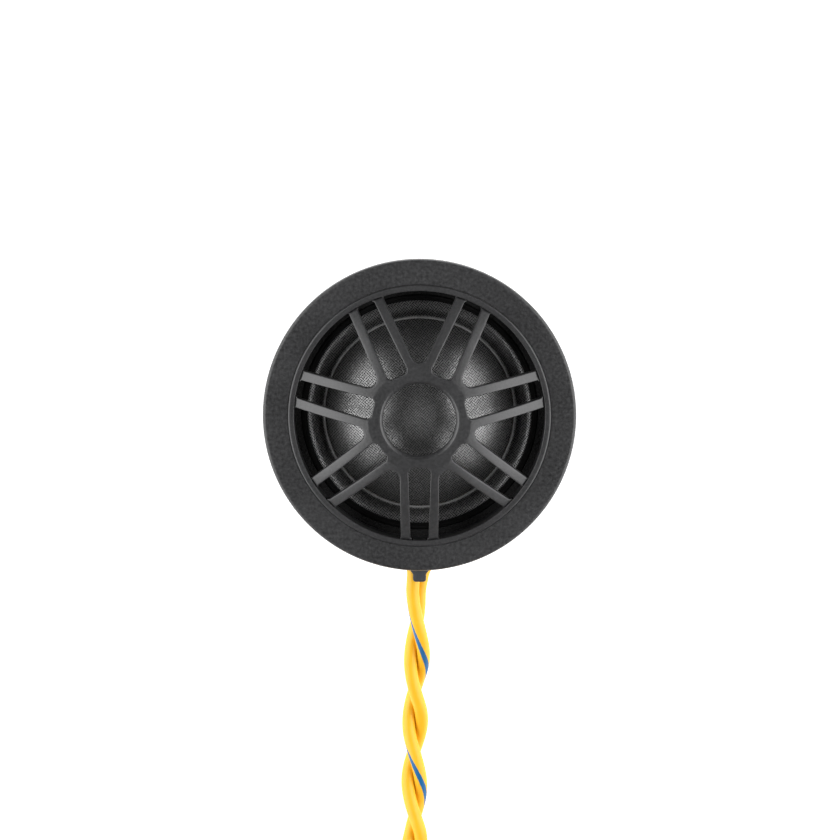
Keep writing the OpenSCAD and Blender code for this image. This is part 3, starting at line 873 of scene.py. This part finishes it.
def make_spoke_pair():
    """One seventh of the grille without its rim: a part of the hub, and two spokes with rounded edges."""
    half = math.pi / PAIRS
    gap, outer, inner = upper_outline()
    edge = gap + outer + inner
    mirrored = [(x, -y) for x, y in edge]
    # From the gap above, round both spokes, to the gap below: the solid lies on the line's right
    line = edge + mirrored[-2::-1]
    steps = 4
    rails = []
    for i in range(steps + 1):
        a = math.pi / 2 * i / steps
        inward, drop = EDGE_R * (1 - math.cos(a)), EDGE_R * (1 - math.sin(a))
        rails.append((offset_line(line, -inward), drop))
    for rail, _ in rails:
        for end, sign in ((0, 1), (-1, -1)):
            r = math.hypot(*rail[end])
            rail[end] = polar(r, sign * half)
    hole_marks = [half - 2 * half * i / 36 for i in range(37)]
    hole_rails = []
    for inward, drop in ((0, HOLE_CHAMFER + 0.03 * MM), (0.02 * MM, HOLE_CHAMFER - 0.02 * MM),
                         (HOLE_CHAMFER - 0.02 * MM, 0.02 * MM), (HOLE_CHAMFER + 0.03 * MM, 0)):
        r = HOLE_R + inward
        hole_rails.append(([polar(r, a) for a in hole_marks], drop))
    rim_line = rails[-1][0]
    hole_line = hole_rails[-1][0]
    spacing = 0.34 * MM
    cut_r = np.linspace(math.hypot(*hole_line[0]), math.hypot(*rim_line[0]), 9)[1:-1]
    cut_up = [polar(r, half) for r in cut_r]
    cut_down = [(x, -y) for x, y in cut_up]
    loop = rim_line + cut_down[::-1] + hole_line[::-1] + cut_up
    border = np.array(loop)
    fill = []
    for r in sorted(list(np.arange(HOLE_R + 0.55 * MM, FINGER_END, spacing)) + [HUB_R]):
        count = max(3, round(2 * half * r / spacing))
        for i in range(1, count):
            a = -half + 2 * half * i / count
            p = polar(r, a)
            if inside(loop, *p) and np.min(np.hypot(*(border - p).T)) > 0.16 * MM:
                fill.append(p)
    points = [Vector(p) / MM for p in loop + fill]
    ring = [(i, (i + 1) % len(loop)) for i in range(len(loop))]
    flat, _, triangles = geometry.delaunay_2d_cdt(points, ring, [], 0, 1e-6)[:3]
    flat = [tuple(p * MM) for p in flat]
    triangles = [t for t in triangles
                 if inside(loop, sum(flat[i][0] for i in t) / 3, sum(flat[i][1] for i in t) / 3)]
    verts, faces = [], []

    def lay(points_2d, height, drop):
        first = len(verts)
        verts.extend((x, y, height(math.hypot(x, y)) + drop) for x, y in points_2d)
        return first

    def strip(first_a, first_b, count):
        faces.extend((first_a + i, first_a + i + 1, first_b + i + 1, first_b + i) for i in range(count - 1))

    tops = []
    for height, sign, hole in ((face_height, -1, hole_rails),
                               (back_height, 1, [(hole_rails[0][0], 0), (hole_line, 0)])):
        start = lay(flat, height, 0)
        faces.extend(tuple(start + i for i in t) for t in triangles)
        for group in (rails, hole):
            rows = [lay(p, height, sign * drop) for p, drop in group]
            for a, b in zip(rows, rows[1:]):
                strip(a, b, len(group[0][0]))
            if sign < 0:
                tops.append(rows[0])
            else:
                strip(tops.pop(0), rows[0], len(group[0][0]))
    return new_object("spoke_pair", verts, faces)


def make_grille():
    """Seven spoke pairs in a ring, joined to the round rim."""
    spokes = ring_of(make_spoke_pair(), PAIRS, -math.pi / 2, GRILLE, 0.004 * MM)
    top = FACE_Z + 0.25 * MM
    profile = rounded([(RIM_OUT_R, SEAT_Z), (RIM_OUT_R, top, 0.28 * MM), (RIM_IN_R, top, 0.14 * MM),
                       (RIM_IN_R, SEAT_Z)], 0.06 * MM, 7)
    combine(spokes, painted(lathe("rim", profile, 256), GRILLE), "UNION")
    spokes.name = "grille_moulding"
    return painted(spokes, GRILLE)


fit(make_grille(), "root", "grille_plastic", "grille")

# ---------------- dome and surround
DOME_R = 13.9 * MM
CLOTH_T = 0.3 * MM
CAP_FLOOR_Z = LAND_Z + 0.1 * MM
DOME_H = dome_high[2] - CAP_FLOOR_Z
DOME_BALL_R = (DOME_R ** 2 + DOME_H ** 2) / (2 * DOME_H)
DOME_BALL_Z = dome_high[2] - DOME_BALL_R
ROLL_HALF = 1.25 * MM
ROLL_DEPTH = 0.9 * MM
ROLL_MID_R = 15.7 * MM
LAND_OUT_R = surround_high[0]


def make_dome():
    """Cloth dome with its glued collar."""
    edge = math.asin(DOME_R / DOME_BALL_R)
    inner_r = DOME_BALL_R - CLOTH_T
    outside = [(DOME_BALL_R * math.sin(edge * t), DOME_BALL_Z + DOME_BALL_R * math.cos(edge * t))
               for t in np.linspace(0, 1, 60)]
    inner_edge = math.asin(min(1, (DOME_R - 0.36 * MM) / inner_r))
    within = [(inner_r * math.sin(inner_edge * t), DOME_BALL_Z + inner_r * math.cos(inner_edge * t))
              for t in np.linspace(1, 0, 40)]
    collar = [(DOME_R, LAND_Z + 0.02 * MM), (DOME_R - 0.14 * MM, LAND_Z + 0.02 * MM)]
    return painted(lathe("dome_cap", outside + collar + within, 192, closed=False), DOME_CLOTH)


def make_surround():
    """Roll pressed inwards, between the dome's edge and the frame."""
    base = LAND_Z + CLOTH_T
    bow_r = (ROLL_HALF ** 2 + ROLL_DEPTH ** 2) / (2 * ROLL_DEPTH)
    bow_z = base - ROLL_DEPTH + bow_r
    upper = math.degrees(math.asin(ROLL_HALF / bow_r)) - 5
    under = math.degrees(math.acos((bow_z - LAND_Z) / (bow_r + CLOTH_T))) - 1
    profile = ([(13.92 * MM, LAND_Z + 0.02 * MM), (13.92 * MM, base - 0.03 * MM), (13.96 * MM, base),
                (ROLL_MID_R - ROLL_HALF - 0.04 * MM, base)]
               + corner(ROLL_MID_R, bow_z, bow_r, 270 - upper, 270 + upper, 32)
               + [(ROLL_MID_R + ROLL_HALF + 0.04 * MM, base), (LAND_OUT_R - 0.1 * MM, base),
                  (LAND_OUT_R, base - 0.1 * MM), (LAND_OUT_R, LAND_Z + 0.01 * MM)]
               + corner(ROLL_MID_R, bow_z, bow_r + CLOTH_T, 270 + under, 270 - under, 24))
    return painted(lathe("surround_roll", profile, 256), ROLL_CLOTH)


def make_glue_line():
    """Bead of adhesive where the surround's inner land meets the dome."""
    base = LAND_Z + CLOTH_T
    middle = 14.14 * MM
    bead = lathe("glue_line", [(middle - 0.17 * MM, base - 0.02 * MM)]
                 + corner(middle, base - 0.03 * MM, 0.17 * MM, 172, 8, 10)
                 + [(middle + 0.17 * MM, base - 0.02 * MM), (middle, base - 0.06 * MM)],
                 256, smooth_angle=60)
    return painted(bead, GLUE_AND_HIGHLIGHT)


def flex_with_dome(obj):
    """Follows the dome at the inner edge and the body at the outer edge, by distance from the axis."""
    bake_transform(obj, "root", "diaphragm", start=(0, 0, LAND_Z), end=(0, 0, LAND_Z + 1 * MM))
    layer = obj.data.attributes["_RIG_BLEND"]
    inner, outer = ROLL_MID_R - ROLL_HALF, ROLL_MID_R + ROLL_HALF
    layer.data.foreach_set("value", [1 - smooth((math.hypot(v.co.x, v.co.y) - inner) / (outer - inner))
                                     for v in obj.data.vertices])


fit(make_dome(), "diaphragm", "dome_cloth", "dome")
surround = make_surround()
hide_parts("surround")
flex_with_dome(surround)
fit(make_glue_line(), "diaphragm", "surround_cloth")

# ---------------- lead-outs
# The middle of the lead-out on the +X side, in millimetres, from the coil to the terminal
LEAD_OUT = [(1.25, -14.0, 10.9), (1.45, -14.7, 10.95), (1.65, -15.4, 10.95), (1.45, -16.1, 10.95),
            (1.25, -16.75, 10.95)]


def make_lead_outs():
    """Two short braids, each of three strands that wind round each other."""
    strand_r, away, twist = 0.058, 0.062, 0.09
    verts, faces = [], []
    for side in (-1, 1):
        line = spline([(side * x, y, z) for x, y, z in LEAD_OUT], 0.08)
        for strand in range(3):
            tube = []
            for i, point in enumerate(line):
                ahead = direction(line, i)
                right = ahead.cross(UP).normalized()
                up = right.cross(ahead)
                turn = math.tau * (strand / 3 + i * twist)
                middle = point + away * (right * math.cos(turn) + up * math.sin(turn))
                tube.append(circle(middle, right, up, strand_r, 8))
            sweep(verts, faces, tube)
    return painted(new_object("lead_out_braids", verts, faces, 60), COPPER)


lead_outs = make_lead_outs()
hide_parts("lead_out_left", "lead_out_right")
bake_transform(lead_outs, "root", "diaphragm", start=(0, -16.7 * MM, 10.95 * MM), end=(0, -14.1 * MM, 10.95 * MM))

# ---------------- strain relief
WIRE_X = 1.15 * MM
EXIT_Z = LEAD_EXIT[2]
TONGUE_LOW = EXIT_Z + 2.05 * MM
TONGUE_HIGH = relief_high[2]
TONGUE_END_Y = relief_low[1]


def slab(name, outline, low, high, edge):
    """A plate with a counterclockwise outline, and rounded edges above and below."""
    count = len(outline)
    verts = []
    for inset, z in ((edge, low), (0.3 * edge, low + 0.3 * edge), (0, low + edge), (0, high - edge),
                     (0.3 * edge, high - 0.3 * edge), (edge, high)):
        for i, (x, y) in enumerate(outline):
            dx, dy = (outline[(i + 1) % count][k] - outline[i - 1][k] for k in (0, 1))
            size = math.hypot(dx, dy)
            verts.append((x - dy / size * inset, y + dx / size * inset, z))
    ends = [tuple(range(count)), tuple(range(5 * count, 6 * count))]
    return new_object(name, verts, walls(0, 6, count) + ends, 50)


def make_relief():
    """Throat in the body's side, rounded head outside it, and the tongue over the leads."""
    relief = block("lead_strain_relief", (-2.7 * MM, -21.6 * MM, EXIT_Z - 1.5 * MM),
                   (2.7 * MM, -18.4 * MM, EXIT_Z + 1.5 * MM), 0.15 * MM)
    head = block("head", (relief_low[0], -22.3 * MM, relief_low[2]),
                 (relief_high[0], -20.9 * MM, TONGUE_HIGH), 0.35 * MM, 5)
    combine(relief, head, "UNION")
    half = [(1.55 * MM, -22.0 * MM, 0), (1.55 * MM, -23.6 * MM, 0.5 * MM),
            (0.975 * MM, -24.3 * MM, 0.5 * MM), (0.975 * MM, TONGUE_END_Y, 0.45 * MM)]
    plan = rounded(half + [(-x, y, r) for x, y, r in half[::-1]], 0, 6)[::-1]
    combine(relief, slab("tongue", plan, TONGUE_LOW, TONGUE_HIGH, 0.16 * MM), "UNION")
    for side in (-1, 1):
        hole = lathe("hole", [(0, 0), (1 * MM, 0), (1 * MM, 6 * MM), (0, 6 * MM)], 48)
        hole.data.transform(Matrix.Translation((side * WIRE_X, -17.5 * MM, EXIT_Z)) @ Matrix.Rotation(
            math.radians(90), 4, "X"))
        combine(relief, hole, "DIFFERENCE")
    return painted(relief, RELIEF)


fit(make_relief(), "root", "relief_rubber", "strain_relief")

# ---------------- rear shell, cover and screws
SCREW_RING_R = 18.2 * MM
COVER_T = cover_high[2] - 0.8 * MM
HEAD_Z = screws_low[2]
SCREW_SEAT_Z = 1.2 * MM


def at_screws(obj, material):
    """Three copies of a piece that stands on the axis, one at each cover screw."""
    obj.data.transform(Matrix.Translation((SCREW_RING_R, 0, 0)))
    return ring_of(obj, 3, math.pi / 2, material)


def post(radius, low, high):
    """An upright cylinder at each cover screw."""
    return at_screws(lathe("post", [(0, low), (radius, low), (radius, high), (0, high)], 48), SHELL)


def make_housing():
    """Rear shell with rounded seams, three screw bosses and the opening for the leads."""
    profile = rounded([(17.9 * MM, COVER_T), (BODY_R, COVER_T, 0.16 * MM), (BODY_R, SKIRT_Z, 0.16 * MM),
                       (19.45 * MM, SKIRT_Z), (19.45 * MM, housing_high[2], 0.2 * MM),
                       (17.9 * MM, housing_high[2])], 0.05 * MM, 4)
    shell = lathe("rear_shell", profile, 256)
    combine(shell, post(1.3 * MM, COVER_T, SKIRT_Z), "UNION")
    combine(shell, post(0.75 * MM, COVER_T - 1 * MM, 7 * MM), "DIFFERENCE")
    return combine(shell, lead_notch("notch", 7.85 * MM, housing_high[2] + 1 * MM), "DIFFERENCE")


def make_cover():
    """Flat back with a rounded edge, a centring ring inside, and counterbored screw holes."""
    profile = rounded([(0, 0, 0), (BODY_R, 0, 0.4 * MM), (BODY_R, COVER_T, 0.14 * MM), (16.8 * MM, COVER_T),
                       (16.8 * MM, cover_high[2]), (15.1 * MM, cover_high[2]), (15.1 * MM, COVER_T),
                       (0, COVER_T, 0)], 0.03 * MM, 5)
    cover = lathe("back_plate", profile, 256)
    combine(cover, post(0.95 * MM, -1 * MM, COVER_T + 1 * MM), "DIFFERENCE")
    return combine(cover, post(1.7 * MM, -1 * MM, SCREW_SEAT_Z), "DIFFERENCE")


def make_screws():
    """Pan-head screws with a cross recess and a ridged shank."""
    core, thread = 0.62 * MM, 0.8 * MM
    shank = [(core, SCREW_SEAT_Z)]
    for i in range(9):
        z = (1.6 + 0.56 * i) * MM
        shank += [(core, z - 0.12 * MM), (thread, z), (core, z + 0.12 * MM)]
    profile = rounded([(0, HEAD_Z, 0), (1.5 * MM, HEAD_Z, 0.42 * MM), (1.5 * MM, SCREW_SEAT_Z, 0.08 * MM)],
                      0, 6)
    tip = [(0.5 * MM, screws_high[2] - 0.3 * MM), (0, screws_high[2])]
    screw = lathe("screw", profile + shank + tip, 64)
    for wide, deep in ((0.85 * MM, 0.21 * MM), (0.21 * MM, 0.85 * MM)):
        combine(screw, block("cross", (-wide, -deep, HEAD_Z - 1 * MM), (wide, deep, HEAD_Z + 0.5 * MM)),
                "DIFFERENCE")
    screws = at_screws(screw, SCREW)
    screws.name = "cover_screw_set"
    return screws


for make, node, material, slot in ((make_housing, "housing", SHELL, "housing_plastic"),
                                   (make_cover, "rear_cover", SHELL, "housing_plastic"),
                                   (make_screws, "cover_screws", SCREW, "screw_steel")):
    fit(painted(make(), material), "root", slot, node)


# ---------------- plain finish on the CAD nodes
def coat(node, material):
    """Gives a CAD node its finish."""
    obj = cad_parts[node]
    for slot in obj.material_slots:
        slot.material = material
    if not obj.material_slots:
        obj.data.materials.append(material)


for node, material in {
    "diaphragm_frame": INNER_RING_SHADE,
    "frame_gasket": foam("gasket_foam", (0.012, 0.012, 0.012), 0.3 * MM),
    "coil_former": moulded("former_film", (0.42, 0.24, 0.06), 0.3, 0.5 * MM, 0.005 * MM),
    "voice_coil": metal("coil_wire", (0.72, 0.30, 0.13), 0.3, 0.1 * MM, (1, 1, 12)),
    "terminal_left": metal("terminal_brass", (0.72, 0.53, 0.22), 0.28, 0.2 * MM),
    "terminal_right": metal("terminal_brass_right", (0.72, 0.53, 0.22), 0.28, 0.2 * MM),
    "solder_joints": metal("solder", (0.62, 0.63, 0.64), 0.25, 0.3 * MM),
    "pole_plate": metal("plate_zinc", (0.55, 0.56, 0.58), 0.35, 0.15 * MM),
    "magnet": metal("magnet_nickel", (0.62, 0.62, 0.60), 0.18, 0.2 * MM),
    "yoke_cup": metal("yoke_zinc", (0.55, 0.56, 0.57), 0.38, 0.15 * MM),
    "pole_felt": foam("pole_felt", (0.16, 0.15, 0.14), 0.25 * MM),
    "damping_pad": foam("pad_foam", (0.03, 0.03, 0.03), 0.5 * MM),
    "inner_wire_plain": PLAIN_SKIN, "inner_wire_striped": PLAIN_SKIN,
    "inner_conductors": COPPER,
}.items():
    coat(node, material)


# ---------------- floor and light
FLOOR_Z = -0.06 * MM
FLOOR_HALF = 4
# A soft box stands at each side
BOX_X = 0.46
BOX_Z = 0.265
BOX_SIZE = (0.85, 0.56)
BOX_POWER = 5.6
SKY_STRENGTH = 0.05


def add_floor():
    """A wide pale floor, a hair under the flat back."""
    corners = ((-1, -1), (1, -1), (1, 1), (-1, 1))
    floor = new_object("floor", [(x * FLOOR_HALF, y * FLOOR_HALF, FLOOR_Z) for x, y in corners],
                       [(0, 1, 2, 3)])
    finish = Finish("floor_paint")
    finish.set(Base_Color=finish.mix(finish.noise(0.2, 2), (0.86, 0.86, 0.86), (0.9, 0.9, 0.9)),
               Roughness=0.9, Emission_Color=(1, 1, 1), Emission_Strength=0.6)
    floor.data.materials.append(finish.material)


def add_light(name, place):
    """A soft box that faces the middle of the body."""
    data = bpy.data.lights.new(name, "AREA")
    data.shape = "RECTANGLE"
    data.size, data.size_y = BOX_SIZE
    data.energy = BOX_POWER
    light = linked(name, data)
    light.location = place
    light.rotation_euler = (Vector((0, 0, 0.01)) - Vector(place)).to_track_quat("-Z", "Y").to_euler()


add_floor()
add_light("left_box", (-BOX_X, 0.0, BOX_Z))
add_light("right_box", (BOX_X, 0.0, BOX_Z))
world = bpy.data.worlds.new("studio")
world.use_nodes = True
background = world.node_tree.nodes["Background"].inputs
background[0].default_value = (1, 1, 1, 1)
background[1].default_value = SKY_STRENGTH
bpy.context.scene.world = world
bpy.context.scene.view_settings.view_transform = "Standard"
